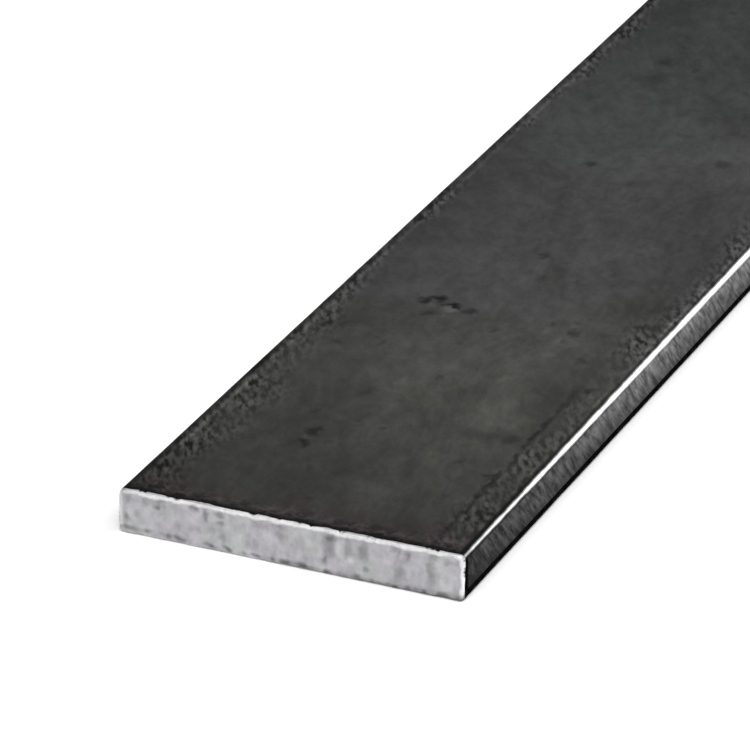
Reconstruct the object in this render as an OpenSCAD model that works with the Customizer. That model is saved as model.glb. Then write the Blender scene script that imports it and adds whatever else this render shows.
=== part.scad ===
// Hot-rolled steel flat bar, cut to a stock length with a saw.
// Millimetres. The bar lies flat along X, centred on the origin, with its underside on Z = 0.

/* [Bar] */
// Length that the bar is cut and sold at
bar_length = 1000; // [250:50:6000]
// Width across the two narrow edges
bar_width = 60; // [20:5:150]
// Thickness between the two wide faces
bar_thickness = 8; // [4:0.5:20]

/* [Edges] */
// Radius that the rolls leave on the four long corners
corner_radius = 1; // [0.5:0.1:1.8]
// Leg of the bevel left where the saw's burr is taken off, all round both ends
end_bevel = 0.3; // [0.1:0.05:0.4]

/* [Hidden] */
// Segments of a full circle
$fn = 64;

// Cross-section: a rectangle whose four corners are rounded by the rolls.
module rolled_section() {
    flat_width = bar_width - 2 * corner_radius;
    flat_thickness = bar_thickness - 2 * corner_radius;
    square([flat_width, bar_thickness], center = true);
    square([bar_width, flat_thickness], center = true);
    for (side = [-1, 1], face = [-1, 1])
        translate([side * flat_width / 2, face * flat_thickness / 2])
            circle(r = corner_radius);
}

// Outline of the bar seen square on, with the bevel of the sawn ends at its four corners.
module sawn_outline(breadth) {
    end = bar_length / 2;
    side = breadth / 2;
    polygon([
        [end, side - end_bevel], [end - end_bevel, side],
        [end_bevel - end, side], [-end, side - end_bevel],
        [-end, end_bevel - side], [end_bevel - end, -side],
        [end - end_bevel, -side], [end, end_bevel - side]
    ]);
}

// The rolled section run to length, then bevelled at both ends on all four sides.
module flat_bar() {
    color("#454543")
        translate([0, 0, bar_thickness / 2])
            intersection() {
                rotate([90, 0, 90])
                    linear_extrude(bar_length, center = true) rolled_section();
                linear_extrude(bar_thickness, center = true) sawn_outline(bar_width);
                rotate([90, 0, 0])
                    linear_extrude(bar_width, center = true) sawn_outline(bar_thickness);
            }
}

flat_bar();
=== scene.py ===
"""Finish, camera and light for a hot-rolled steel flat bar that lies on a pale studio floor."""

import math

import bpy
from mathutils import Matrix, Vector, noise


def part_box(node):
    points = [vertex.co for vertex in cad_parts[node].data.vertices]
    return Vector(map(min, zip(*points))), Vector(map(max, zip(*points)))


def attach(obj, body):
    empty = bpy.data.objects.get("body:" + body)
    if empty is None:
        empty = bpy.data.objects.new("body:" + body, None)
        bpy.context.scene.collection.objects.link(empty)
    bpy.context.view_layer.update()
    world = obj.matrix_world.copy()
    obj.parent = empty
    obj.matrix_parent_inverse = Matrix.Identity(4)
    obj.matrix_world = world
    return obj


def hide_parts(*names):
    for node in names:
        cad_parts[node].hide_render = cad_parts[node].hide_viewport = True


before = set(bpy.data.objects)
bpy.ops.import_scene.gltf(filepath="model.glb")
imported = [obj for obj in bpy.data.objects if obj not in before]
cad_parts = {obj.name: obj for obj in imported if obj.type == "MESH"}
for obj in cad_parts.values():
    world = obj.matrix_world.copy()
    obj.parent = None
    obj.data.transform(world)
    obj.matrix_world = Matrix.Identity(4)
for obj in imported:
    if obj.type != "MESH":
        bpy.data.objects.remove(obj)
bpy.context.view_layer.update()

MM = 0.001

# The bar, as the frame gives it
low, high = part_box("flat_bar")
MIDDLE = (low + high) / 2
HALF_LENGTH = (high.x - low.x) / 2
HALF_WIDTH = (high.y - low.y) / 2
HALF_THICKNESS = (high.z - low.z) / 2

# The sawn ends: a burr stands out along the lower rim and grows towards the -Y side, and towards the +Y
# side the blade drifted, so that the foot of the cut lies further in
BURR = 0.7 * MM               # how far the burr stands out at most
BURR_HEIGHT = 1.2 * MM        # how high up the cut it starts
DRIFT = 0.5 * MM              # how far in the cut ends at its lower +Y corner
HALF_SAWN = HALF_LENGTH - BURR    # from the middle of the bar to the flat of the cut

# Edges of the bar
CORNER_RADIUS = 1.0 * MM      # the upper long corner on the -Y side, left by the rolls
FAR_RADIUS = 1.5 * MM         # the upper one on the +Y side, which is rounder
LOWER_RADIUS = 0.6 * MM       # the two lower ones, which are sharper
RIM_RADIUS = 0.3 * MM         # all round both sawn ends, where the burr is taken off

# Spacing of the mesh
WIDE_STEPS = 160              # across each wide face
NARROW_STEPS = 20             # across each narrow edge, and down each sawn end
CORNER_STEPS = 10             # round each long corner
RIM_STEPS = 3                 # round the rim of each end
SAWN_RIM_STEPS = 2            # of which the cut steel covers these
FIRST_RING = 1.1 * MM         # how far in the first ring behind the rim lies, past where that rim strays
RING_STEP = 10.0 * MM         # from ring to ring along the bar
FINE_RING_STEP = 2.5 * MM     # from ring to ring near the ends
FINE_REACH = 120.0 * MM       # how far in from each end the rings are that close

# Flat layout of the surface, for a finish that is drawn on a square sheet: three lengths of the rolled
# skin side by side, and above them both sawn ends, enlarged
THIRD = 0.34 * HALF_LENGTH    # the skin is cut this far to each side of the middle
GAP = 3.0 * MM                # between the pieces of the layout
ENLARGED = 3.2                # how much larger the ends are drawn

# Relief of the surfaces
FACE_WAVE = 0.05 * MM         # how far the wide faces dip below the flat
EDGE_WAVE = 0.12 * MM         # and the narrow edges
SAW_MARK = 0.03 * MM          # depth of the marks that the saw's teeth leave
RIM_STRAY = 0.7 * MM          # how far the line between scale and cut steel strays along the bar
BLACK_BELOW = 1.5 * MM        # the lower corners carry dead black painted shade up to this height
BLACK_BESIDE = 1.5 * MM       # and so do the narrow edges this near to the cut

# The scar and the marks in the scale of the upper face: from the near end, across from the centreline,
# how far they reach along and across, all in mm, and how dark (under 1) or light (over 1) they are
SCAR = [
    # Some 10 mm long, torn across the rolling direction
    (85.4, 13.5, 2.4, 1.6, 0.2), (87.2, 12.5, 1.5, 2.0, 0.45), (86.9, 11.2, 2.0, 1.5, 0.1),
    (84.0, 11.8, 1.7, 1.4, 1.35), (85.1, 8.4, 1.5, 2.5, 0.05), (83.4, 8.0, 1.3, 2.5, 1.8),
    (83.9, 4.4, 2.0, 2.2, 0.35), (80.6, 10.3, 1.5, 2.3, 0.5), (80.5, 8.2, 1.3, 1.7, 1.35),
]
MARKS = [
    # Scratches and smudges
    (26.3, 9.6, 2.4, 1.5, 0.35), (31.0, 9.8, 2.6, 1.4, 0.4), (28.6, 10.0, 1.1, 1.4, 1.5),
    (41.0, -17.5, 4.0, 6.5, 0.62), (40.8, -20.8, 3.0, 1.8, 0.7), (46.5, -19.5, 3.2, 2.2, 1.3),
    (83.0, -14.5, 2.2, 1.6, 0.5), (150.7, 10.0, 2.4, 2.0, 0.45), (110.0, 1.8, 2.6, 1.3, 0.6),
    (58.5, -1.2, 2.0, 1.5, 0.6), (55.0, 4.5, 3.5, 1.4, 1.2), (62.0, -10.5, 3.2, 1.5, 1.25),
    (73.0, -14.0, 2.4, 1.6, 1.2), (80.0, -13.5, 3.0, 1.8, 1.2), (67.0, 13.0, 1.8, 1.0, 0.7),
    (104.5, 0.5, 3.6, 1.2, 1.2), (101.5, -1.3, 3.0, 1.5, 0.7), (36.5, 0.0, 2.0, 1.6, 0.72),
    (27.0, -21.9, 1.8, 1.3, 0.5), (63.4, -25.8, 1.9, 1.7, 0.4), (61.7, -26.8, 2.2, 1.1, 1.5),
    (73.2, -20.3, 1.8, 1.2, 0.6), (81.5, -28.0, 4.0, 1.2, 1.5), (92.5, -28.0, 2.0, 1.4, 1.5),
    (192.0, 13.5, 6.0, 4.5, 0.62), (201.0, 14.5, 3.6, 3.0, 0.56), (145.0, 0.0, 2.4, 1.8, 0.7),
    (170.0, -0.5, 2.2, 1.8, 0.72), (160.0, -12.0, 2.6, 2.6, 0.65), (180.0, 21.0, 2.6, 1.8, 0.7),
    (52.0, -1.6, 2.6, 1.8, 1.18), (48.0, 8.5, 3.0, 1.4, 0.75), (30.5, -16.5, 2.2, 1.3, 0.72),
    (55.0, 22.0, 2.0, 3.2, 0.8), (49.5, 22.5, 2.2, 2.2, 0.82), (64.0, 20.5, 1.8, 1.3, 0.65),
    (71.0, 22.5, 1.6, 2.6, 0.7), (119.5, -1.5, 4.0, 1.4, 0.84), (139.5, -3.5, 2.4, 1.3, 0.72),
    (107.0, -10.5, 3.0, 1.3, 1.15), (113.0, -10.5, 2.2, 1.3, 0.82), (81.5, -4.5, 4.0, 2.2, 0.86),
    (70.0, 18.7, 3.4, 1.8, 1.2), (92.5, 19.0, 3.5, 1.4, 0.8), (94.0, 12.5, 4.0, 2.5, 0.86),
    (113.0, 8.0, 6.0, 1.8, 1.15), (102.5, -7.7, 2.6, 1.2, 0.75), (71.0, 0.3, 3.2, 0.9, 1.22),
    (77.0, -4.8, 4.0, 1.0, 1.2), (82.5, -10.0, 2.2, 1.2, 1.28), (84.8, -10.2, 1.2, 1.0, 0.7),
    (87.0, -9.5, 1.8, 1.2, 1.25), (78.5, -15.5, 2.8, 1.2, 1.25), (86.0, -14.0, 1.6, 1.8, 1.25),
    # Broad patches
    (48.0, -4.0, 38.0, 18.0, 1.14), (50.0, 14.0, 26.0, 12.0, 0.92), (20.0, 14.0, 40.0, 24.0, 0.88),
    (92.0, 12.0, 20.0, 14.0, 0.93), (215.0, 12.0, 70.0, 45.0, 0.76), (46.0, -27.0, 26.0, 5.5, 1.28),
    (88.0, -27.0, 26.0, 6.0, 0.86), (36.0, -12.0, 28.0, 12.0, 1.16), (208.0, -14.0, 60.0, 24.0, 0.76),
]
ROLL_LINE = -23.8 * MM        # across from the centreline, a faint line that the rolls left

# Stains on the near cut: across from the centreline and up from the underside, how far they reach across
# and upwards, all in mm, and how dark or light they are
STAINS = [
    (28.2, 6.3, 0.9, 1.6, 0.72), (28.5, 2.9, 0.9, 1.3, 0.6), (25.2, 6.2, 1.2, 1.3, 0.7),
    (22.9, 5.8, 1.0, 0.9, 0.5), (22.6, 7.0, 2.2, 0.8, 0.65), (16.6, 6.8, 1.1, 1.0, 0.5),
    (14.4, 6.2, 1.0, 1.8, 0.55), (12.1, 6.7, 1.4, 0.9, 0.6), (12.0, 5.0, 1.2, 0.9, 0.6),
    (12.1, 2.8, 1.3, 0.9, 0.8), (8.4, 4.0, 2.6, 1.2, 1.12), (4.6, 6.3, 1.8, 1.3, 0.76),
    (1.4, 6.8, 1.8, 0.8, 0.72), (1.3, 4.8, 1.3, 1.8, 0.8), (6.0, 2.6, 1.1, 1.3, 0.78),
    # Dark streaks that run down the cut
    (-6.9, 6.6, 1.9, 1.2, 0.5), (-6.8, 4.8, 1.9, 3.4, 0.68), (-6.1, 2.5, 0.8, 1.1, 0.7),
    (-10.1, 5.5, 1.1, 2.8, 0.75), (-12.7, 5.2, 1.2, 3.2, 0.66), (-13.0, 2.1, 0.8, 0.8, 0.66),
    (-10.5, 3.0, 1.0, 1.0, 1.25), (-17.9, 6.7, 0.8, 1.1, 0.68), (-18.9, 6.3, 0.8, 1.2, 0.68),
    (-20.4, 5.8, 0.9, 1.4, 0.68), (-18.8, 2.9, 1.9, 2.2, 0.7), (-24.2, 4.3, 1.0, 3.6, 0.64),
    (-25.0, 6.7, 1.0, 1.0, 0.68), (-27.3, 6.3, 1.9, 1.0, 0.74), (-26.2, 3.9, 1.2, 3.2, 1.2),
]

SPOT_DEPTH = 2.0              # how far these spots and those above reach into the bar, in mm

# The finishes, as numbered on the bar; the black one is painted shade
SCALED, SAWN, BLACK = range(3)

# Camera: where it looks from, and the spot on the top face that it looks at
CAMERA_AZIMUTH = -66.22
CAMERA_ELEVATION = 25.32
CAMERA_DISTANCE = 0.9855
CAMERA_LENS = 286.3           # in mm, with the sensor's width
CAMERA_SENSOR = 36.0
AIM_FROM_END = 54.6 * MM
AIM_FROM_CENTRELINE = 9.3 * MM

# Studio
LAMP_DISTANCE = 2.0           # any will do, because a sun shines the same from everywhere
FLOOR_LIFT = 1.3              # how much paler the floor is seen than it lights the bar
FLOOR_REACH = 60.0            # how far it goes out from the bar
FLOOR_GAP = 0.02 * MM         # how far under the bar it lies, so that the two stay apart


def linear(colour):
    """A linear RGBA colour from an sRGB hex value."""
    channels = [int(colour[i:i + 2], 16) / 255 for i in (1, 3, 5)]
    return [c / 12.92 if c <= 0.04045 else ((c + 0.055) / 1.055) ** 2.4 for c in channels] + [1.0]


def add(tree, kind, links=(), **settings):
    """Adds a shader node, sets its properties, and fills its inputs: each with a value, or linked to a
    socket or to the first output of another node."""
    made = tree.nodes.new("ShaderNode" + kind)
    for name, value in settings.items():
        setattr(made, name, value)
    for name, value in dict(links).items():
        if isinstance(value, bpy.types.Node):
            value = value.outputs[0]
        if isinstance(value, bpy.types.NodeSocket):
            tree.links.new(value, made.inputs[name])
        else:
            made.inputs[name].default_value = value
    return made


def empty_material(name):
    """A material whose node tree is empty."""
    material = bpy.data.materials.new(name)
    material.use_nodes = True
    material.node_tree.nodes.clear()
    return material


# ---------------------------------------------------------------- the bar's mesh

def ripple(place, size, seed):
    """Smooth noise from -1 to 1, in waves about as long as size."""
    return min(max(noise.noise(place / size + Vector((0.0, 0.0, 37.0 * seed))), -1.0), 1.0)


def section(inset):
    """The bar's rounded section, drawn in by inset: points (y, z) from its middle, anticlockwise."""
    y = HALF_WIDTH - inset
    z = HALF_THICKNESS - inset
    near, far, lower = CORNER_RADIUS - inset, FAR_RADIUS - inset, LOWER_RADIUS - inset
    corners = [
        (y - far, z - far, far), (near - y, z - near, near),
        (lower - y, lower - z, lower), (y - lower, lower - z, lower),
    ]
    steps_before = [NARROW_STEPS, WIDE_STEPS, NARROW_STEPS, WIDE_STEPS]
    points = []
    for number, (centre_y, centre_z, radius) in enumerate(corners):
        facing = number * math.pi / 2
        last_y, last_z, last_radius = corners[number - 1]
        start = Vector((last_y, last_z)) + last_radius * Vector((math.cos(facing), math.sin(facing)))
        stop = Vector((centre_y, centre_z)) + radius * Vector((math.cos(facing), math.sin(facing)))
        for i in range(steps_before[number]):
            points.append(tuple(start.lerp(stop, i / steps_before[number])))
        for i in range(CORNER_STEPS):
            turned = facing + math.pi / 2 * i / CORNER_STEPS
            points.append((centre_y + radius * math.cos(turned), centre_z + radius * math.sin(turned)))
    return points


def ring_places():
    """(x, inset) of each ring from one sawn end to the other; x from the middle of the bar."""
    rim = []
    for i in range(RIM_STEPS + 1):
        lean = math.pi / 2 * i / RIM_STEPS
        rim.append((HALF_SAWN - RIM_RADIUS * (1 - math.cos(lean)), RIM_RADIUS * (1 - math.sin(lean))))
    near_end = [FIRST_RING, BLACK_BESIDE]
    near_end += [i * FINE_RING_STEP for i in range(1, int(FINE_REACH / FINE_RING_STEP))]
    half = rim + [(HALF_SAWN - step, 0.0) for step in near_end]
    left = HALF_SAWN - FINE_REACH
    steps = round(left / RING_STEP)
    half += [(left * (1 - i / steps), 0.0) for i in range(steps)]
    return [(-x, inset) for x, inset in half] + [(0.0, 0.0)] + half[::-1]


def settle(place):
    """Gives a point of the ideal bar the slight waves of rolled faces and the marks of the saw."""
    x, y, z = place
    wave = 0.5 + 0.35 * ripple(Vector((x, y, math.copysign(1.0, z))), 45 * MM, 1)
    wave += 0.15 * ripple(Vector((x, y, math.copysign(1.0, z))), 14 * MM, 2)
    z *= 1 - FACE_WAVE * wave / HALF_THICKNESS
    wave = 0.5 + 0.2 * ripple(Vector((x, math.copysign(1.0, y), z)), 30 * MM, 3)
    wave += 0.3 * ripple(Vector((x, math.copysign(1.0, y), z)), 7 * MM, 9)
    y *= 1 - EDGE_WAVE * wave / HALF_WIDTH
    end = math.copysign(1.0, x)
    tooth = 0.6 * ripple(Vector((end, y, 0.15 * z)), 1.1 * MM, 4)
    tooth += 0.4 * ripple(Vector((end, y, 0.4 * z)), 3.0 * MM, 5)
    in_cut = max(0.0, 1 - (HALF_SAWN - abs(x)) / RIM_RADIUS)
    x -= end * SAW_MARK * (0.5 + 0.5 * tooth) * in_cut
    return Vector((x + end * stand_out(y, z) * in_cut, y, z))


def stand_out(y, z):
    """How far this point of the cut stands out past the flat of it: the burr, or less than 0 where the
    blade drifted."""
    sideways = y / HALF_WIDTH
    up = z + HALF_THICKNESS
    ragged = 0.75 + 0.25 * ripple(Vector((0.0, y, 0.0)), 2.5 * MM, 8)
    burr = BURR * ragged * min(max(0.2 - sideways, 0.0), 1.0) * max(0.0, 1 - up / BURR_HEIGHT)
    drift = DRIFT * max(sideways - 0.1, 0.0) * (1 - up / (2 * HALF_THICKNESS))
    return burr - drift


def rim_stray(place):
    """How far in from the end the line where scale meets cut steel strays at this point of the rim."""
    stray = 0.5 + 0.8 * ripple(place, 4.5 * MM, 6) + 0.35 * ripple(place, 1.4 * MM, 7)
    return RIM_STRAY * min(max(stray, 0.0), 1.0)


def scaled_finish(x, first, second):
    """The finish of the patch whose outer end is at x, between two points (y, z) of the section: black
    painted shade low on the narrow edges and lower corners and on the narrow edges beside the cut, scale
    elsewhere.
    """
    y, z = (first[0] + second[0]) / 2, (first[1] + second[1]) / 2
    outside = abs(y) > HALF_WIDTH - LOWER_RADIUS
    low_down = z < BLACK_BELOW - HALF_THICKNESS
    beside = abs(x) > HALF_SAWN - BLACK_BESIDE and z < HALF_THICKNESS - CORNER_RADIUS
    return BLACK if outside and (low_down or beside) else SCALED


def girths(outline):
    """How far round the section each point of it lies, and the whole way round."""
    places = [0.0]
    for first, second in zip(outline, outline[1:] + outline[:1]):
        places.append(places[-1] + math.dist(first, second))
    return places


def lay_out(faces, points, rings, round_bar):
    """Where each corner of each face lies on the sheet, from 0 to 1: first the skin, then the ends."""
    count = len(round_bar) - 1
    strip = round_bar[-1] + GAP
    sheet = 3 * strip
    starts = [-HALF_SAWN - RIM_RADIUS, -THIRD, THIRD]
    corners = []
    for number in range(len(rings) - 1):
        stretch = [x + math.copysign(inset, x) for x, inset in rings[number:number + 2]]
        third = sum(sum(stretch) / 2 > start for start in starts[1:])
        lower, upper = (along - starts[third] + GAP / 2 for along in stretch)
        for i in range(count):
            left, right = (third * strip + place + GAP / 2 for place in round_bar[i:i + 2])
            corners += [(left, lower), (right, lower), (right, upper), (left, upper)]
    base = 2 * (THIRD + GAP)
    for face in faces[len(corners) // 4:]:
        for _, y, z in (points[corner] for corner in face):
            shift = 0.0 if points[face[0]].x < 0 else sheet / 2
            corners.append((
                shift + GAP + (y + HALF_WIDTH) * ENLARGED, base + (z + HALF_THICKNESS) * ENLARGED))
    return [place / sheet for corner in corners for place in corner]


def build_bar():
    """One closed mesh: rings of the section from end to end, and a grid across each sawn end."""
    rings = ring_places()
    outlines = [section(inset) for _, inset in rings]
    count = len(outlines[0])
    points, faces, finishes = [], [], []
    for number, ((x, _), outline) in enumerate(zip(rings, outlines)):
        for y, z in outline:
            place = Vector((x, y, z))
            # Each ring of the rim strays further than the one outside it
            in_rim = min(number, len(rings) - 1 - number) / RIM_STEPS
            if in_rim <= 1:
                place.x -= math.copysign(rim_stray(place) * in_rim, x)
            points.append(settle(place))
    for number in range(len(rings) - 1):
        first, second = number * count, (number + 1) * count
        on_rim = min(number, len(rings) - 2 - number) < SAWN_RIM_STEPS
        outline = outlines[number]
        outer = max(rings[number][0], rings[number + 1][0], key=abs)
        for i in range(count):
            j = (i + 1) % count
            faces.append((first + i, first + j, second + j, second + i))
            finishes.append(SAWN if on_rim else scaled_finish(outer, outline[i], outline[j]))
    for number in (0, len(rings) - 1):
        columns = cut_face(points, outlines[number], rings[number][0], number * count)
        for left, right in zip(columns, columns[1:]):
            for row in range(NARROW_STEPS):
                corners = (left[row], right[row], right[row + 1], left[row + 1])
                faces.append(corners[::-1] if number else corners)
                finishes.append(SAWN)
    layout = lay_out(faces, points, rings, girths(outlines[len(rings) // 2]))
    return points, faces, finishes, layout


def cut_face(points, outline, x, first):
    """Adds the points inside one sawn end, and returns its columns of point numbers, from -Z to +Z."""
    count = len(outline)
    across = WIDE_STEPS + 2 * CORNER_STEPS
    columns = [[first + row for row in range(NARROW_STEPS + 1)]]
    for column in range(1, across):
        upper, lower = NARROW_STEPS + column, count - column
        numbers = [first + lower]
        for row in range(1, NARROW_STEPS):
            share = row / NARROW_STEPS
            y = outline[lower][0] + (outline[upper][0] - outline[lower][0]) * share
            z = outline[lower][1] + (outline[upper][1] - outline[lower][1]) * share
            numbers.append(len(points))
            points.append(settle(Vector((x, y, z))))
        columns.append(numbers + [first + upper])
    columns.append([first + count // 2 + NARROW_STEPS - row for row in range(NARROW_STEPS + 1)])
    return columns


# ---------------------------------------------------------------- finishes

def apart(tree, first, second):
    """How far apart two numbers are."""
    between = add(tree, "Math", {0: first, 1: second}, operation="SUBTRACT")
    return add(tree, "Math", {0: between}, operation="ABSOLUTE")


def bar_distances(tree):
    """Where a point lies on the bar, in metres: its place, how far across from the centreline it is, how
    far in from the nearer sawn end and the nearer long side, and how far up from the underside and down
    from the top."""
    place = add(tree, "TexCoord").outputs["Object"]
    axes = add(tree, "SeparateXYZ", {"Vector": place}).outputs
    along, sideways = apart(tree, axes["X"], MIDDLE.x), apart(tree, axes["Y"], MIDDLE.y)
    return {
        "place": place,
        "across": axes["Y"],
        "from_end": add(tree, "Math", {0: HALF_SAWN, 1: along}, operation="SUBTRACT"),
        "from_side": add(tree, "Math", {0: HALF_WIDTH, 1: sideways}, operation="SUBTRACT"),
        "from_below": add(tree, "Math", {0: axes["Z"], 1: low.z}, operation="SUBTRACT"),
        "from_top": add(tree, "Math", {0: high.z, 1: axes["Z"]}, operation="SUBTRACT"),
    }


def vary(tree, pattern, least, most, spread=0.14):
    """A factor that goes from least to most as a noise pattern goes from its usual low to its high."""
    return add(tree, "MapRange", {
        "Value": pattern, "From Min": 0.5 - spread, "From Max": 0.5 + spread,
        "To Min": least, "To Max": most})


def blend(tree, share, first, second):
    """A number that goes from first to second as share goes from 0 to 1."""
    return add(tree, "MapRange", {"Value": share, "To Min": first, "To Max": second})


def product(tree, first, *others):
    """The product of several factors."""
    for other in others:
        first = add(tree, "Math", {0: first, 1: other}, operation="MULTIPLY")
    return first


def strayed(tree, place, drift, reach):
    """A place that a noise moves about by up to half of reach each way, so that what is drawn there gets
    an uneven border."""
    offset = add(tree, "VectorMath", {
        0: drift.outputs["Color"], 1: (0.5, 0.5, 0.5)}, operation="SUBTRACT")
    return add(tree, "VectorMath", {0: offset, 1: reach, 2: place}, operation="MULTIPLY_ADD")


def spot(tree, place, middle, reach):
    """A soft spot: 1 at its middle, 0 past its reach along X, Y and Z."""
    away = add(tree, "VectorMath", {0: place, 1: middle}, operation="SUBTRACT")
    away = add(tree, "VectorMath", {0: away, 1: reach}, operation="DIVIDE")
    away = add(tree, "VectorMath", {0: away}, operation="LENGTH")
    return add(tree, "MapRange", {
        "Value": away.outputs["Value"], "From Min": 0.1, "To Min": 1.0, "To Max": 0.0},
        interpolation_type="SMOOTHSTEP")


def dappled(tree, place, spots):
    """The tone that soft spots give together, each with its middle, its reach and its tone. Each is
    multiplied in as it is made, so that few values have to be kept at once."""
    shade = blend(tree, spot(tree, place, *spots[0][:2]), 1.0, spots[0][2])
    for middle, reach, tone in spots[1:]:
        shade = product(tree, shade, blend(tree, spot(tree, place, middle, reach), 1.0, tone))
    return shade


def on_upper_face(spots):
    """The middle, the reach and the tone of each of these spots, measured on the upper face."""
    edge = Vector((MIDDLE.x - HALF_SAWN, MIDDLE.y, high.z))
    return [
        (edge + Vector((from_end, across, 0.0)) * MM, Vector((along, sideways, SPOT_DEPTH)) * MM, tone)
        for from_end, across, along, sideways, tone in spots]


def on_near_cut(spots):
    """The middle, the reach and the tone of each of these spots, measured on the near cut."""
    foot = Vector((MIDDLE.x - HALF_SAWN, MIDDLE.y, low.z))
    return [
        (foot + Vector((0.0, across, up)) * MM, Vector((SPOT_DEPTH, sideways, upwards)) * MM, tone)
        for across, up, sideways, upwards, tone in spots]


def corner_wear_and_painted_light(tree, where):
    """How far the scale is rubbed off the upper long corners, from 0, none, to 1, down to bright steel,
    and the painted shade and painted highlight beside them.

    The -Y corner is rubbed bright from end to end, a little less near the cut, and the +Y one is
    only rubbed grey. A black line of painted shade runs where each corner starts, and a pale line of
    painted highlight just inside it.
    """
    on_far_side = add(tree, "MapRange", {
        "Value": where["across"], "From Min": -1 * MM, "From Max": 1 * MM})
    radius = blend(tree, on_far_side, CORNER_RADIUS, FAR_RADIUS)
    # How far a point is from each of the two faces that meet there, in corner radii. The larger of these
    # is least in the middle of the rounding, and 1 where either flat starts
    inward = add(tree, "Math", {0: where["from_side"], 1: radius}, operation="DIVIDE")
    down = add(tree, "Math", {0: where["from_top"], 1: radius}, operation="DIVIDE")

    # The rubbed band, a little further down than in, with chipped borders
    lowered = add(tree, "Math", {0: down, 1: -0.12}, operation="ADD")
    past_corner = add(tree, "Math", {0: inward, 1: lowered}, operation="MAXIMUM")
    depth = add(tree, "Math", {0: 0.82, 1: past_corner}, operation="SUBTRACT")
    chips = add(tree, "TexNoise", {"Vector": where["place"], "Scale": 1 / (4.0 * MM), "Detail": 4.0})
    chipped = vary(tree, chips, -0.06, 0.06)
    spared = blend(tree, on_far_side, 0.0, -0.3)
    near_cut = add(tree, "MapRange", {
        "Value": where["from_end"], "From Max": 75 * MM, "To Min": -0.17, "To Max": 0.13})
    for extra in (chipped, spared, near_cut):
        depth = add(tree, "Math", {0: depth, 1: extra}, operation="ADD")
    worn = add(tree, "MapRange", {"Value": depth, "From Min": 0.07, "From Max": 0.43})

    # The black line of painted shade, which greys away from the cut, and the pale line of painted
    # highlight, which comes and goes
    stretches = add(tree, "TexNoise", {"Vector": where["place"], "Scale": 1 / (8 * MM), "Detail": 3.0})
    near_line = add(tree, "MapRange", {
        "Value": where["from_end"], "From Min": 14 * MM, "From Max": 60 * MM,
        "To Min": 0.03, "To Max": 0.4})
    greyer = add(tree, "MapRange", {
        "Value": where["from_end"], "From Min": 52 * MM, "From Max": 64 * MM, "To Max": 0.35})
    far_line = add(tree, "Math", {0: vary(tree, stretches, -0.1, 0.45), 1: greyer}, operation="ADD")
    raised = add(tree, "Math", {0: down, 1: 0.2}, operation="ADD")
    past_line = add(tree, "Math", {0: inward, 1: raised}, operation="MAXIMUM")
    painted_shade_line = add(tree, "MapRange", {
        "Value": past_line, "From Min": 1.0, "From Max": 1.5,
        "To Min": blend(tree, on_far_side, near_line, far_line), "To Max": 1.0})
    palest = add(tree, "MapRange", {
        "Value": where["from_end"], "From Min": 8 * MM, "From Max": 20 * MM,
        "To Min": 1.0, "To Max": vary(tree, stretches, 1.0, 1.75)})
    painted_highlight_line = add(tree, "MapRange", {
        "Value": apart(tree, inward, 1.75), "From Max": 0.4, "To Min": palest, "To Max": 1.0})
    return worn, product(tree, painted_shade_line, painted_highlight_line)


def edge_wrinkles(tree, where, patchy):
    """Slanted wrinkles some 2 mm long and under 1 mm wide along the long edges: their noise, and how
    fully they show, from 0 to 1.

    They come in clumps, in a ribbon that narrows and widens again further in on the +Y side, and that
    comes and goes on the -Y side.
    """
    slanted = add(tree, "Mapping", {
        "Vector": where["place"], "Rotation": (0.0, 0.0, math.radians(27)), "Scale": (2.5, 1.0, 1.0)},
        vector_type="TEXTURE")
    wrinkle = add(tree, "TexNoise", {"Vector": slanted, "Scale": 1 / (1.0 * MM), "Detail": 1.0})
    clump = add(tree, "TexNoise", {"Vector": slanted, "Scale": 1 / (4.5 * MM), "Detail": 2.0})
    on_far_side = add(tree, "MapRange", {
        "Value": where["across"], "From Min": -5 * MM, "From Max": 5 * MM})

    narrowing = add(tree, "MapRange", {
        "Value": where["from_end"], "From Min": 50 * MM, "From Max": 110 * MM,
        "To Min": 12 * MM, "To Max": 3.5 * MM})
    widening = add(tree, "MapRange", {
        "Value": where["from_end"], "From Min": 150 * MM, "From Max": 190 * MM, "To Max": 3 * MM})
    far_reach = add(tree, "Math", {0: narrowing, 1: widening}, operation="ADD")
    reach = blend(tree, on_far_side, 8 * MM, far_reach)
    core = add(tree, "Math", {0: reach, 1: 0.3}, operation="MULTIPLY")
    sway = vary(tree, patchy, -1.8 * MM, 1.8 * MM)
    inward = add(tree, "Math", {0: where["from_side"], 1: sway}, operation="ADD")
    ribbon = add(tree, "MapRange", {
        "Value": inward, "From Min": core, "From Max": reach, "To Min": 1.0, "To Max": 0.0},
        interpolation_type="SMOOTHSTEP")

    barest = add(tree, "MapRange", {
        "Value": where["from_end"], "From Min": 82 * MM, "From Max": 94 * MM,
        "To Min": 0.15, "To Max": 0.85})
    by_side = blend(tree, on_far_side, vary(tree, patchy, 0.85, barest), 1.0)
    return wrinkle, product(tree, ribbon, by_side, vary(tree, clump, 0.45, 1.0, spread=0.12))


def edge_streaks(tree, where):
    """Streaks 1 mm wide that the edging rolls left, leaning across the narrow edges: their noise, and
    their tone, which is harshest beside the cut."""
    leaning = add(tree, "Mapping", {
        "Vector": where["place"], "Rotation": (0.0, math.radians(45), 0.0), "Scale": (5.0, 1.0, 1.0)},
        vector_type="TEXTURE")
    streak = add(tree, "TexNoise", {
        "Vector": leaning, "Scale": 1 / (1.0 * MM), "Detail": 3.0, "Roughness": 0.6})
    darkest = add(tree, "MapRange", {"Value": where["from_end"], "From Max": 60 * MM, "To Max": 0.4})
    palest = add(tree, "MapRange", {
        "Value": where["from_end"], "From Max": 60 * MM, "To Min": 2.4, "To Max": 1.6})
    return streak, vary(tree, streak, darkest, palest)


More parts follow.
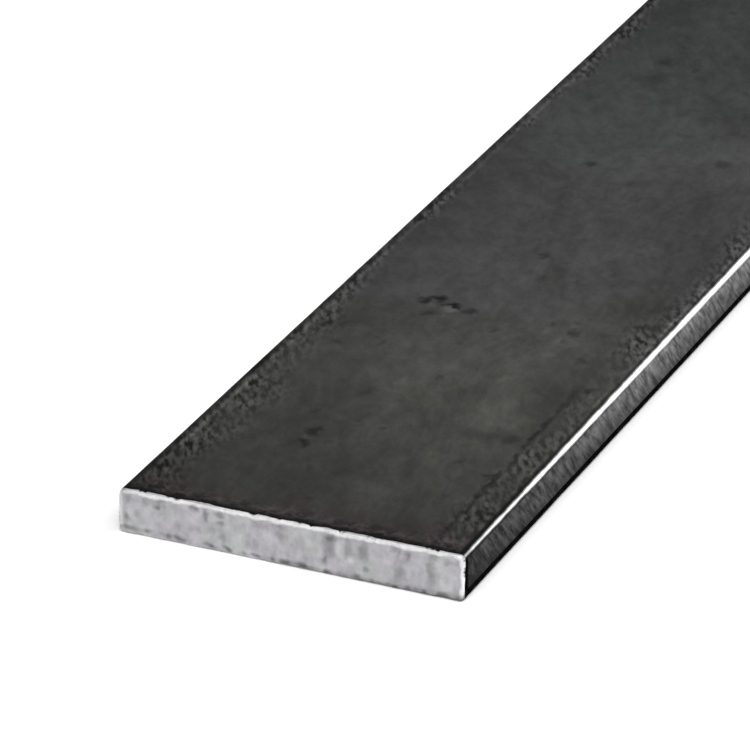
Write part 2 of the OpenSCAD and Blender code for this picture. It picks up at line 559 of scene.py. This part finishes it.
def pits(tree, drifted):
    """The tone of shallow pits with a paler rim, some 15 mm apart."""
    pit = add(tree, "TexVoronoi", {
        "Vector": drifted, "Scale": 1 / (10 * MM)}, voronoi_dimensions="2D")
    bottom = add(tree, "MapRange", {
        "Value": pit.outputs["Distance"], "From Min": 0.03, "From Max": 0.12,
        "To Min": 0.7, "To Max": 1.0})
    rim = add(tree, "MapRange", {
        "Value": pit.outputs["Distance"], "From Min": 0.12, "From Max": 0.22,
        "To Min": 1.1, "To Max": 1.0})
    # Half of the cells hold no pit, and the others hold fainter and stronger ones
    cell = add(tree, "SeparateXYZ", {"Vector": pit.outputs["Color"]})
    strength = add(tree, "MapRange", {"Value": cell, "From Min": 0.5, "From Max": 1.0})
    return blend(tree, strength, 1.0, product(tree, bottom, rim))


def roll_mark(tree, where, drift):
    """The tone of a thin dark line that the rolls left near the -Y side, fainter in places and further
    in."""
    sway = vary(tree, drift, -0.3 * MM, 0.3 * MM)
    swayed = add(tree, "Math", {0: where["across"], 1: sway}, operation="ADD")
    on_line = add(tree, "MapRange", {
        "Value": apart(tree, swayed, ROLL_LINE), "From Min": 0.2 * MM, "From Max": 0.8 * MM,
        "To Min": 1.0, "To Max": 0.0})
    near_cut = add(tree, "MapRange", {
        "Value": where["from_end"], "From Min": 48 * MM, "From Max": 68 * MM,
        "To Min": 1.0, "To Max": 0.15})
    on_line = product(tree, on_line, near_cut, vary(tree, drift, 1.0, 0.3))
    return blend(tree, on_line, 1.0, 0.3)


def broad_tone(tree, where, narrow):
    """The tone that the whole surface takes: darker towards the ends and the +Y side, and painted shade
    that darkens the lower half of the narrow edges towards the floor."""
    end_of_face = add(tree, "MapRange", {
        "Value": where["from_end"], "From Max": 50 * MM, "To Min": 0.7, "To Max": 1.0})
    end_of_edge = add(tree, "MapRange", {
        "Value": where["from_end"], "From Max": 80 * MM, "To Min": 0.35, "To Max": 2.4})
    near_side = add(tree, "MapRange", {
        "Value": where["from_side"], "From Max": 14 * MM, "To Min": 0.88, "To Max": 1.0})
    lean = add(tree, "MapRange", {
        "Value": where["across"], "From Min": -14 * MM, "From Max": 24 * MM,
        "To Min": 1.03, "To Max": 0.8})
    # Painted shade: the narrow edges darker towards the floor
    painted_shade_below = add(tree, "MapRange", {
        "Value": where["from_below"], "From Min": 1.2 * MM, "From Max": 6.5 * MM,
        "To Min": 0.35, "To Max": 1.3})
    ends = blend(tree, narrow, end_of_face, end_of_edge)
    return product(tree, ends, blend(tree, narrow, product(tree, near_side, lean), painted_shade_below))


def cut_edge_shade_and_scale(tree, where):
    """The tone of a ragged black band of painted shade along the edge of the cut, and of the uneven
    scale behind it.
    """
    blobs = add(tree, "TexNoise", {
        "Vector": where["place"], "Scale": 1 / (1.8 * MM), "Detail": 2.0, "Roughness": 0.6})
    sway = vary(tree, blobs, -0.8 * MM, 0.8 * MM)
    inward = add(tree, "Math", {0: where["from_end"], 1: sway}, operation="ADD")
    # The band of painted shade, within some 1 to 2 mm of the cut
    band = add(tree, "MapRange", {
        "Value": inward, "From Min": 1.0 * MM, "From Max": 1.8 * MM, "To Min": 0.1, "To Max": 1.0})
    behind = add(tree, "MapRange", {
        "Value": where["from_end"], "From Min": 2 * MM, "From Max": 6 * MM,
        "To Min": 1.0, "To Max": 0.0})
    return product(tree, band, blend(tree, behind, 1.0, vary(tree, blobs, 1.65, 0.4)))


def oxide_tint(tree, where, narrow, cloud, drift, patchy):
    """The colour of the oxide: olive near the ends, grey further in and on the narrow edges, faintly
    blue-green in the middle of the bar, and browned by heat beside the cut."""
    sway = vary(tree, cloud, -25 * MM, 25 * MM)
    inward = add(tree, "Math", {0: where["from_end"], 1: sway}, operation="ADD")
    greying = add(tree, "MapRange", {"Value": inward, "From Min": 70 * MM, "From Max": 100 * MM})
    greying = add(tree, "Math", {0: greying, 1: narrow}, operation="MAXIMUM")
    tint = add(tree, "MixRGB", {
        "Fac": greying, "Color1": linear("#444441"), "Color2": linear("#434343")})

    slanting = add(tree, "Math", {0: inward, 1: where["across"]}, operation="ADD")
    bluing = add(tree, "MapRange", {"Value": slanting, "From Min": 155 * MM, "From Max": 200 * MM})
    off_edge = add(tree, "MapRange", {
        "Value": where["from_side"], "From Min": 3 * MM, "From Max": 13 * MM})
    bluing = product(tree, bluing, off_edge)
    tint = add(tree, "MixRGB", {"Fac": bluing, "Color1": tint, "Color2": linear("#404443")})

    sway = vary(tree, drift, -4 * MM, 4 * MM)
    inward = add(tree, "Math", {0: where["from_end"], 1: sway}, operation="ADD")
    browning = add(tree, "MapRange", {
        "Value": inward, "From Min": 2 * MM, "From Max": 10 * MM, "To Min": 1.0, "To Max": 0.0})
    browning = product(tree, browning, vary(tree, patchy, 1.0, 0.2))
    return add(tree, "MixRGB", {"Fac": browning, "Color1": tint, "Color2": linear("#483f42")})


def mill_scale():
    """Hot-rolled mill scale: a thin charcoal oxide skin, nearly matt.

    To the eye it is nearly black steel with faint cloudy patches, a fine mottling, a few small pits
    and scars where scale was rolled in, and a thin line that the rolls left. It is rough and wrinkled
    along the long edges and streaked up and down the narrow ones, which carry painted shade that darkens
    them towards the floor. The upper corners are rubbed to bright steel, with a black line of painted
    shade and a pale line of painted highlight just inside them. Beside the sawn ends the cut has browned
    the skin, and a ragged black band of painted shade runs along the edge of the cut.
    """
    material = empty_material("hot_rolled_mill_scale")
    tree = material.node_tree
    where = bar_distances(tree)
    place = where["place"]
    narrow = add(tree, "MapRange", {
        "Value": where["from_side"], "From Min": 0.15 * MM, "From Max": 0.5 * MM,
        "To Min": 1.0, "To Max": 0.0})

    # Cloudy patches 3 to 60 mm across, and mottling of 0.5 to 3 mm, both drawn out along a slant
    drawn_out = add(tree, "Mapping", {
        "Vector": place, "Rotation": (0.0, 0.0, math.radians(20)), "Scale": (1.8, 1.0, 1.0)},
        vector_type="TEXTURE")
    cloud = add(tree, "TexNoise", {
        "Vector": drawn_out, "Scale": 1 / (35 * MM), "Detail": 5.0, "Roughness": 0.8, "Distortion": 0.4})
    mottle = add(tree, "TexNoise", {
        "Vector": drawn_out, "Scale": 1 / (2.8 * MM), "Detail": 3.0, "Roughness": 0.75,
        "Distortion": 0.5})
    # What the edge wrinkles and the browning come and go with, and what makes single marks uneven
    patchy = add(tree, "TexNoise", {"Vector": place, "Scale": 1 / (16 * MM), "Detail": 1.0})
    drift = add(tree, "TexNoise", {"Vector": place, "Scale": 1 / (2.5 * MM), "Detail": 2.0})
    drifted = strayed(tree, place, drift, (4 * MM, 4 * MM, 0.0))

    wrinkle, wrinkled = edge_wrinkles(tree, where, patchy)
    wrinkles = blend(tree, wrinkled, 1.0, vary(tree, wrinkle, 0.1, 2.15, spread=0.13))
    streak, streaks = edge_streaks(tree, where)
    scarred = dappled(tree, drifted, on_upper_face(SCAR))
    marked = dappled(tree, drifted, on_upper_face(MARKS))
    # Beside the upper corners: a black line of painted shade and a pale line of painted highlight
    worn, beside = corner_wear_and_painted_light(tree, where)
    shade = product(
        tree, vary(tree, cloud, 0.7, 1.3), vary(tree, mottle, 0.86, 1.14),
        blend(tree, narrow, wrinkles, streaks), pits(tree, drifted), scarred, marked,
        roll_mark(tree, where, drift), broad_tone(tree, where, narrow), cut_edge_shade_and_scale(tree, where), beside)
    tint = oxide_tint(tree, where, narrow, cloud, drift, patchy)
    oxide = add(tree, "VectorMath", {0: tint, "Scale": shade}, operation="SCALE")
    base = add(tree, "MixRGB", {"Fac": worn, "Color1": oxide, "Color2": linear("#c6c6c7")})

    # Relief of the wrinkles, the streaks, the scar and the grain of the oxide. That grain is really some
    # hundredths of a millimetre, and is drawn at 0.7 mm so that it shows
    grain = add(tree, "TexNoise", {
        "Vector": place, "Scale": 1 / (0.7 * MM), "Detail": 4.0, "Roughness": 0.6})
    relief = blend(tree, narrow, product(tree, wrinkle, wrinkled), streak)
    relief = add(tree, "Math", {0: relief, 1: 2.0}, operation="MULTIPLY")
    for pattern, height in ((grain, 0.3), (scarred, 0.5)):
        relief = add(tree, "Math", {0: pattern, 1: height, 2: relief}, operation="MULTIPLY_ADD")
    bump = add(tree, "Bump", {"Height": relief, "Strength": 0.6, "Distance": 0.08 * MM})
    surface = add(tree, "BsdfPrincipled", {
        "Base Color": base, "Metallic": worn, "Specular IOR Level": 0.1,
        "Roughness": blend(tree, worn, 0.75, 0.32), "Normal": bump})
    add(tree, "OutputMaterial", {"Surface": surface})
    return material


def black_painted_shade():
    """Painted shade: dead black and without gloss, on the lower long corners and on the narrow edges
    beside the cut. Only its grain gives the eye anything to hold."""
    material = empty_material("black_painted_shade_finish")
    tree = material.node_tree
    place = add(tree, "TexCoord").outputs["Object"]
    grain = add(tree, "TexNoise", {"Vector": place, "Scale": 1 / (1.5 * MM), "Detail": 3.0})
    # Near-black painted shade with a faint grain
    base = add(tree, "MixRGB", {
        "Fac": vary(tree, grain, 0.0, 1.0), "Color1": linear("#060606"), "Color2": linear("#141413")})
    bump = add(tree, "Bump", {"Height": grain, "Strength": 0.5, "Distance": 0.05 * MM})
    surface = add(tree, "BsdfPrincipled", {
        "Base Color": base, "Roughness": 0.75, "Specular IOR Level": 0.0, "Normal": bump})
    add(tree, "OutputMaterial", {"Surface": surface})
    return material


def rubbed_lip_and_painted_highlight(tree, where, marks):
    """How bright the lip along the top and sides of the cut is, rubbed to a shine by the blade and
    painted near-white as a painted highlight along the edge, and where scale hangs over that lip, both
    from 0 to 1 and with ragged borders."""
    ragged = add(tree, "TexNoise", {
        "Vector": where["place"], "Scale": 1 / (2.6 * MM), "Detail": 3.0, "Roughness": 0.6})
    sway = vary(tree, ragged, -0.27 * MM, 0.27 * MM)
    lips, crusts = [], []
    for name, start, stop in (("from_top", 0.45, 0.95), ("from_side", 0.35, 0.8)):
        inward = add(tree, "Math", {0: where[name], 1: sway}, operation="ADD")
        lips.append(add(tree, "MapRange", {
            "Value": inward, "From Min": start * MM, "From Max": stop * MM,
            "To Min": 1.0, "To Max": 0.0}))
        crusts.append(add(tree, "MapRange", {
            "Value": inward, "From Min": -0.1 * MM, "From Max": 0.1 * MM,
            "To Min": 1.0, "To Max": 0.0}))
    lip = add(tree, "Math", {0: lips[0], 1: lips[1]}, operation="MAXIMUM")
    crust = add(tree, "Math", {0: crusts[0], 1: crusts[1]}, operation="MAXIMUM")
    # None along the foot of the cut, and duller at its +Y side
    above_foot = add(tree, "MapRange", {
        "Value": where["from_below"], "From Min": 0.3 * MM, "From Max": 1.2 * MM})
    duller = add(tree, "MapRange", {
        "Value": where["across"], "From Min": 26 * MM, "From Max": 29 * MM,
        "To Min": 1.0, "To Max": 0.5})
    lip = product(
        tree, lip, above_foot, duller, vary(tree, marks, 0.75, 1.0), vary(tree, ragged, 0.7, 1.0))
    return lip, crust


def foot_painted_shade(tree, where):
    """How dark the painted shade along the foot of the cut is, from 0 to 1: ragged dark teeth in a row
    just above the foot, which run together towards the -Y side."""
    nick = add(tree, "TexNoise", {"Vector": where["place"], "Scale": 1 / (1.9 * MM), "Detail": 1.0})
    row = add(tree, "MapRange", {
        "Value": where["across"], "From Min": -HALF_WIDTH, "From Max": HALF_WIDTH,
        "To Min": 0.3 * MM, "To Max": 1.0 * MM})
    faintest = add(tree, "MapRange", {
        "Value": where["across"], "From Min": -HALF_WIDTH / 2, "From Max": HALF_WIDTH / 2,
        "To Min": 0.35, "To Max": 0.0})
    darkest = add(tree, "MapRange", {
        "Value": where["across"], "From Min": -HALF_WIDTH / 2, "From Max": HALF_WIDTH,
        "To Min": 1.0, "To Max": 0.5})
    return add(tree, "MapRange", {
        "Value": apart(tree, where["from_below"], row),
        "From Max": vary(tree, nick, 0.4 * MM, 0.95 * MM),
        "To Min": vary(tree, nick, faintest, darkest, spread=0.1), "To Max": 0.0},
        interpolation_type="SMOOTHSTEP")


def sawn_steel():
    """Bare steel as the saw leaves it.

    To the eye it is pale and bright, dulled by close marks that run up and down, by cloudy patches a
    few millimetres wide, and by stains and dark streaks on the near cut. The blade rubbed a ragged lip
    along its top and sides to a shine, and that lip is painted near-white as a painted highlight along
    the edge. A row of ragged painted shade lies just above its bottom.
    """
    material = empty_material("sawn_bare_steel")
    tree = material.node_tree
    where = bar_distances(tree)
    place = where["place"]
    upright = add(tree, "Mapping", {"Vector": place, "Scale": (0.3, 1.0, 0.3)})
    marks = add(tree, "TexNoise", {
        "Vector": upright, "Scale": 1 / (1.0 * MM), "Detail": 2.0, "Roughness": 0.6})
    patch = add(tree, "TexNoise", {
        "Vector": place, "Scale": 1 / (2.6 * MM), "Detail": 2.5, "Roughness": 0.55, "Distortion": 0.1})
    tone = add(tree, "Math", {0: marks, 1: 0.35, 2: patch}, operation="MULTIPLY_ADD")
    tone = add(tree, "MapRange", {"Value": tone, "From Min": 0.23, "From Max": 1.11})
    base = add(tree, "MixRGB", {
        "Fac": tone, "Color1": linear("#8a8a8c"), "Color2": linear("#cececf")})
    # The heat of the cut leaves faint tints, neutral here and violet there
    heat = add(tree, "TexNoise", {"Vector": place, "Scale": 1 / (6 * MM), "Detail": 2.0})
    tint = add(tree, "MixRGB", {
        "Fac": vary(tree, heat, 0.0, 1.0), "Color1": linear("#fcfdfc"), "Color2": linear("#fdf8ff")})
    base = add(tree, "MixRGB", {"Fac": 1.0, "Color1": base, "Color2": tint}, blend_type="MULTIPLY")
    drift = add(tree, "TexNoise", {"Vector": place, "Scale": 1 / (1.2 * MM), "Detail": 2.0})
    drifted = strayed(tree, place, drift, (0.0, 1.5 * MM, 1.5 * MM))
    stained = dappled(tree, drifted, on_near_cut(STAINS))
    base = add(tree, "VectorMath", {0: base, "Scale": stained}, operation="SCALE")

    lip, crust = rubbed_lip_and_painted_highlight(tree, where, marks)
    # The lip, painted near-white as a highlight along the edge; the painted shade along the foot; and
    # the scale over the lip
    for share, colour in ((lip, "#fdfdfe"), (foot_painted_shade(tree, where), "#4a4a4b"), (crust, "#1c1a1a")):
        base = add(tree, "MixRGB", {"Fac": share, "Color1": base, "Color2": linear(colour)})

    bump = add(tree, "Bump", {"Height": tone, "Strength": 0.4, "Distance": 0.03 * MM})
    surface = add(tree, "BsdfPrincipled", {
        "Base Color": base, "Metallic": 1.0, "Roughness": blend(tree, tone, 0.5, 0.36), "Normal": bump})
    add(tree, "OutputMaterial", {"Surface": surface})
    return material


def make_bar():
    """The bar as one piece, in place of the plain solid."""
    points, faces, finishes, layout = build_bar()
    mesh = bpy.data.meshes.new("rolled_flat_bar")
    mesh.from_pydata([MIDDLE + point for point in points], [], faces)
    for finish in (mill_scale(), sawn_steel(), black_painted_shade()):
        mesh.materials.append(finish)
    mesh.polygons.foreach_set("material_index", finishes)
    mesh.polygons.foreach_set("use_smooth", [True] * len(faces))
    mesh.uv_layers.new(name="OFBake").uv.foreach_set("vector", layout)
    bar = bpy.data.objects.new("rolled_flat_bar", mesh)
    bpy.context.scene.collection.objects.link(bar)
    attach(bar, "root")
    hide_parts("flat_bar")


# ---------------------------------------------------------------- studio

def direction(azimuth, elevation):
    """Unit vector towards that azimuth and elevation; azimuth 0 is -Y and 90 is +X."""
    a, e = math.radians(azimuth), math.radians(elevation)
    return Vector((math.sin(a) * math.cos(e), -math.cos(a) * math.cos(e), math.sin(e)))


def make_camera():
    """A long lens that looks down on the near end."""
    aim = Vector((MIDDLE.x - HALF_SAWN + AIM_FROM_END, MIDDLE.y + AIM_FROM_CENTRELINE, high.z))
    back = direction(CAMERA_AZIMUTH, CAMERA_ELEVATION)
    data = bpy.data.cameras.new("camera")
    data.sensor_width = CAMERA_SENSOR
    data.lens = CAMERA_LENS
    camera = bpy.data.objects.new("camera", data)
    camera.location = aim + back * CAMERA_DISTANCE
    camera.rotation_euler = (-back).to_track_quat("-Z", "Y").to_euler()
    bpy.context.scene.collection.objects.link(camera)
    bpy.context.scene.camera = camera


def make_sun(name, azimuth, elevation, strength, spread):
    """A round soft light far away, spread degrees across."""
    data = bpy.data.lights.new(name, "SUN")
    data.energy = strength
    data.angle = math.radians(spread)
    lamp = bpy.data.objects.new(name, data)
    towards = direction(azimuth, elevation)
    lamp.location = MIDDLE + towards * LAMP_DISTANCE
    lamp.rotation_euler = (-towards).to_track_quat("-Z", "Y").to_euler()
    bpy.context.scene.collection.objects.link(lamp)


def make_world():
    """A soft grey room that is white towards the horizon."""
    world = bpy.data.worlds.new("studio")
    bpy.context.scene.world = world
    world.use_nodes = True
    tree = world.node_tree
    tree.nodes.clear()
    towards = add(tree, "TexCoord").outputs["Generated"]
    height = add(tree, "SeparateXYZ", {"Vector": towards}).outputs["Z"]
    level = add(tree, "MapRange", {
        "Value": height, "From Min": 0.05, "From Max": 0.25, "To Min": 1.0, "To Max": 0.4})
    light = add(tree, "Background", {"Color": linear("#ffffff"), "Strength": level})
    add(tree, "OutputWorld", {"Surface": light})


def make_floor():
    """A wide white floor that keeps the bar's shadow."""
    material = empty_material("white_studio_floor")
    tree = material.node_tree
    rays = add(tree, "LightPath").outputs
    seen = add(tree, "Math", {0: rays["Is Camera Ray"], 1: rays["Is Glossy Ray"]}, operation="ADD")
    seen = add(tree, "Math", {0: seen, 1: rays["Is Transmission Ray"]}, operation="ADD")
    lift = blend(tree, seen, 1.0, FLOOR_LIFT)
    white = add(tree, "VectorMath", {0: linear("#fafafa")[:3], "Scale": lift}, operation="SCALE")
    surface = add(tree, "BsdfDiffuse", {"Color": white})
    add(tree, "OutputMaterial", {"Surface": surface})
    level = low.z - FLOOR_GAP
    mesh = bpy.data.meshes.new("studio_floor")
    corners = [
        (x * FLOOR_REACH, y * FLOOR_REACH, level) for x, y in ((-1, -1), (1, -1), (1, 1), (-1, 1))]
    mesh.from_pydata(corners, [], [(0, 1, 2, 3)])
    mesh.materials.append(material)
    floor = bpy.data.objects.new("studio_floor", mesh)
    bpy.context.scene.collection.objects.link(floor)


make_camera()
make_bar()
make_sun("overhead_softbox", azimuth=-75.0, elevation=52.0, strength=1.75, spread=40.0)
make_sun("rim_softbox", azimuth=64.0, elevation=19.0, strength=1.1, spread=38.0)
make_world()
make_floor()
bpy.context.scene.view_settings.view_transform = "Standard"
